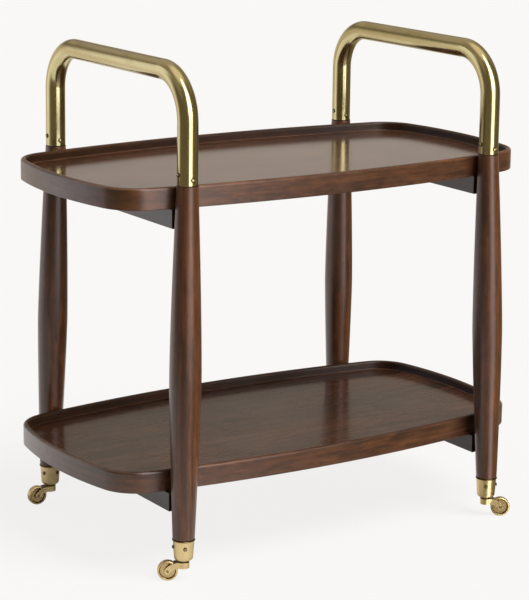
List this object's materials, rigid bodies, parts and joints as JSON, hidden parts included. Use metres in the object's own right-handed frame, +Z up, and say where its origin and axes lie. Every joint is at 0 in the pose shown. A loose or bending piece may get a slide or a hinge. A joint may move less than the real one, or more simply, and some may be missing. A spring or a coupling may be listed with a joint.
{
  "type": "serving trolley",
  "caption": "Serving trolley with rimmed oval-cornered wooden trays on turned legs, bent brass end handles and small brass cup casters.",
  "frame": {"origin": "on the floor under the centre of the trolley", "axes": "+Z up, +X along the trays towards the right handle, -Y the front"},
  "size_m": [0.806, 0.4904, 0.8],
  "materials": {
    "walnut": "dark walnut stain under satin lacquer",
    "polished_brass": "brushed and lacquered",
    "caster_brass": "satin cast brass",
    "screw_steel": "zinc plated"
  },
  "bodies": {
    "frame": {"upper_tray_rim": "walnut", "upper_tray_panel": "walnut", "upper_left_rail": "walnut", "upper_left_tray_screw_front": "screw_steel", "upper_left_tray_screw_back": "screw_steel", "upper_right_rail": "walnut", "upper_right_tray_screw_front": "screw_steel", "upper_right_tray_screw_back": "screw_steel", "lower_tray_rim": "walnut", "lower_tray_panel": "walnut", "lower_left_rail": "walnut", "lower_left_tray_screw_front": "screw_steel", "lower_left_tray_screw_back": "screw_steel", "lower_right_rail": "walnut", "lower_right_tray_screw_front": "screw_steel", "lower_right_tray_screw_back": "screw_steel", "front_left_leg": "walnut", "back_left_leg": "walnut", "front_right_leg": "walnut", "back_right_leg": "walnut", "left_handle": "polished_brass", "right_handle": "polished_brass", "front_left_handle_screw_1": "polished_brass", "front_left_handle_screw_2": "polished_brass", "front_left_caster_cup": "caster_brass", "front_left_caster_kingpin": "caster_brass", "front_left_cup_screw_1": "caster_brass", "front_left_cup_screw_2": "caster_brass", "back_left_handle_screw_1": "polished_brass", "back_left_handle_screw_2": "polished_brass", "back_left_caster_cup": "caster_brass", "back_left_caster_kingpin": "caster_brass", "back_left_cup_screw_1": "caster_brass", "back_left_cup_screw_2": "caster_brass", "front_right_handle_screw_1": "polished_brass", "front_right_handle_screw_2": "polished_brass", "front_right_caster_cup": "caster_brass", "front_right_caster_kingpin": "caster_brass", "front_right_cup_screw_1": "caster_brass", "front_right_cup_screw_2": "caster_brass", "back_right_handle_screw_1": "polished_brass", "back_right_handle_screw_2": "polished_brass", "back_right_caster_cup": "caster_brass", "back_right_caster_kingpin": "caster_brass", "back_right_cup_screw_1": "caster_brass", "back_right_cup_screw_2": "caster_brass"},
    "front_left_fork": {"front_left_caster_horn": "caster_brass", "front_left_wheel_axle": "caster_brass"},
    "front_left_roller": {"front_left_wheel": "caster_brass"},
    "back_left_fork": {"back_left_caster_horn": "caster_brass", "back_left_wheel_axle": "caster_brass"},
    "back_left_roller": {"back_left_wheel": "caster_brass"},
    "front_right_fork": {"front_right_caster_horn": "caster_brass", "front_right_wheel_axle": "caster_brass"},
    "front_right_roller": {"front_right_wheel": "caster_brass"},
    "back_right_fork": {"back_right_caster_horn": "caster_brass", "back_right_wheel_axle": "caster_brass"},
    "back_right_roller": {"back_right_wheel": "caster_brass"}
  },
  "joints": [
    {"name": "front_left_caster_swivel", "type": "hinge", "parent": "frame", "child": "front_left_fork", "pos_m": [-0.297, -0.21967, 0.03], "axis": [0, 0, 1], "continuous": true},
    {"name": "front_left_wheel_spin", "type": "hinge", "parent": "front_left_fork", "child": "front_left_roller", "pos_m": [-0.31762, -0.20644, 0.016], "axis": [-0.5402, -0.8415, 0], "continuous": true},
    {"name": "back_left_caster_swivel", "type": "hinge", "parent": "frame", "child": "back_left_fork", "pos_m": [-0.297, 0.21967, 0.03], "axis": [0, 0, 1], "continuous": true},
    {"name": "back_left_wheel_spin", "type": "hinge", "parent": "back_left_fork", "child": "back_left_roller", "pos_m": [-0.32141, 0.22181, 0.016], "axis": [-0.0872, -0.9962, 0], "continuous": true},
    {"name": "front_right_caster_swivel", "type": "hinge", "parent": "frame", "child": "front_right_fork", "pos_m": [0.297, -0.21967, 0.03], "axis": [0, 0, 1], "continuous": true},
    {"name": "front_right_wheel_spin", "type": "hinge", "parent": "front_right_fork", "child": "front_right_roller", "pos_m": [0.31762, -0.23291, 0.016], "axis": [0.5402, 0.8415, 0], "continuous": true},
    {"name": "back_right_caster_swivel", "type": "hinge", "parent": "frame", "child": "back_right_fork", "pos_m": [0.297, 0.21967, 0.03], "axis": [0, 0, 1], "continuous": true},
    {"name": "back_right_wheel_spin", "type": "hinge", "parent": "back_right_fork", "child": "back_right_roller", "pos_m": [0.31762, 0.23291, 0.016], "axis": [-0.5402, 0.8415, 0], "continuous": true}
  ]
}
